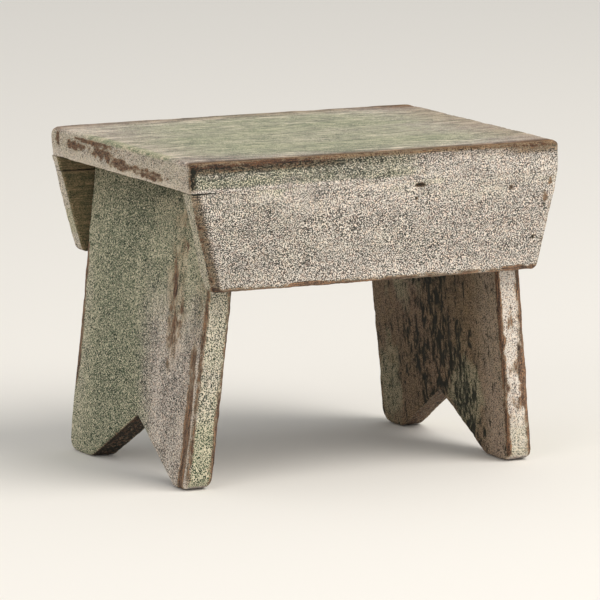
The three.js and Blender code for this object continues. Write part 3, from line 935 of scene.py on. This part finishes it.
GRIT = (0.68, 0.68, 0.64)
UPRIGHT_GRIT = (0.66, 0.66, 0.74)
LONG_GRAIN = (24, 1.0, 1.0)
UPRIGHT_GRAIN = (1.2, 1.2, 22)

top_paint = milk_paint(
    "sage_milk_paint_on_pine_top",
    grit_size=GRIT,
    smear_size=(2.2, 1.0, 0.9),
    grain_size=LONG_GRAIN,
    chip_size=(6.5, 6.5, 1.8),
)
apron_paint = milk_paint(
    "cream_milk_paint_on_pine_aprons",
    grit_size=GRIT,
    smear_size=(1.3, 1.0, 0.9),
    grain_size=LONG_GRAIN,
    chip_size=(8, 2.6, 2.2),
)
leg_paint = milk_paint(
    "sage_milk_paint_on_pine_legs",
    grit_size=UPRIGHT_GRIT,
    smear_size=(2.2, 2.2, 5.2),
    grain_size=UPRIGHT_GRAIN,
    chip_size=(2.2, 2.2, 6),
)

FRONT_STEPS = (0.9, 0.85)  # along and up, between the points of the most seen face
REAR_STEPS = (1.2, 1.2)

top_board(top_paint)
apron_board("front_apron", FRONT, APRON_THICKNESS, APRON_BOTTOM, UNDERSIDE, FRONT_STEPS, apron_paint)
apron_board("rear_apron", REAR, APRON_THICKNESS, APRON_BOTTOM, REAR_TOP, REAR_STEPS, apron_paint)
apron_board("rear_apron_strip", REAR, STRIP_THICKNESS, STRIP_BOTTOM, UNDERSIDE, REAR_STEPS, apron_paint)
leg_board("left_leg", LEFT, leg_paint)
leg_board("right_leg", RIGHT, leg_paint)

steel = nail_steel()
for node_name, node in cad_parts.items():
    if "_nail_" in node_name:
        node.data.materials.clear()
        node.data.materials.append(steel)


# ---- Floor, light and camera ----


def pale_floor():
    """A plain matt floor, a hair below the feet."""
    reach = 14.0
    mesh = bpy.data.meshes.new("floor")
    corners = [(-reach, -reach, 0), (reach, -reach, 0), (reach, reach, 0), (-reach, reach, 0)]
    mesh.from_pydata(corners, [], [(0, 1, 2, 3)])
    material, tree = new_material("matt_pale_floor")
    surface = add(tree, "ShaderNodeBsdfPrincipled", {"Base Color": srgb("#efede9"), "Roughness": 0.9})
    add(tree, "ShaderNodeOutputMaterial", {"Surface": surface})
    mesh.materials.append(material)
    floor = bpy.data.objects.new("floor", mesh)
    floor.location.z = -0.1 * MM
    bpy.context.scene.collection.objects.link(floor)


def soft_light(name, place, diameter, watts, tint):
    """A round area light, in metres and watts, turned to the middle of the stool."""
    middle = Vector((0, 0, 0.1))
    data = bpy.data.lights.new(name, "AREA")
    data.shape = "DISK"
    data.size = diameter
    data.energy = watts
    data.color = srgb(tint)[:3]
    light = bpy.data.objects.new(name, data)
    light.location = place
    light.rotation_euler = (middle - Vector(place)).to_track_quat("-Z", "Y").to_euler()
    bpy.context.scene.collection.objects.link(light)


def studio():
    world = bpy.data.worlds.new("studio")
    world.use_nodes = True
    background = world.node_tree.nodes["Background"]
    background.inputs["Color"].default_value = srgb("#f6f5f2")
    background.inputs["Strength"].default_value = 0.62
    bpy.context.scene.world = world
    soft_light("window", place=(1.5, -2.0, 3.0), diameter=3.2, watts=110, tint="#fff9f1")
    soft_light("fill", place=(-2.6, -1.4, 1.6), diameter=2.0, watts=16, tint="#fffaf3")
    bpy.context.scene.view_settings.view_transform = "Standard"


CAMERA_AZIMUTH = radians(-28.72)  # round from the front, towards the left end
CAMERA_ELEVATION = radians(9.30)
CAMERA_ROLL = radians(0.60)
CAMERA_DISTANCE = 3953 * MM
CAMERA_TARGET = Vector((-1.2, 0, 97.9)) * MM
CAMERA_LENS = 380.5  # on a 36 mm wide sensor


def camera():
    level = cos(CAMERA_ELEVATION)
    back = Vector((sin(CAMERA_AZIMUTH) * level, -cos(CAMERA_AZIMUTH) * level, sin(CAMERA_ELEVATION)))
    right = Vector((0, 0, 1)).cross(back).normalized()
    up = back.cross(right)
    rolled_right = right * cos(CAMERA_ROLL) + up * sin(CAMERA_ROLL)
    rolled_up = up * cos(CAMERA_ROLL) - right * sin(CAMERA_ROLL)
    data = bpy.data.cameras.new("camera")
    data.sensor_width = 36.0
    data.lens = CAMERA_LENS
    data.clip_end = 60.0
    view = bpy.data.objects.new("camera", data)
    turn = Matrix((rolled_right, rolled_up, back)).transposed().to_4x4()
    view.matrix_world = Matrix.Translation(CAMERA_TARGET + back * CAMERA_DISTANCE) @ turn
    bpy.context.scene.collection.objects.link(view)
    bpy.context.scene.camera = view


pale_floor()
studio()
camera()
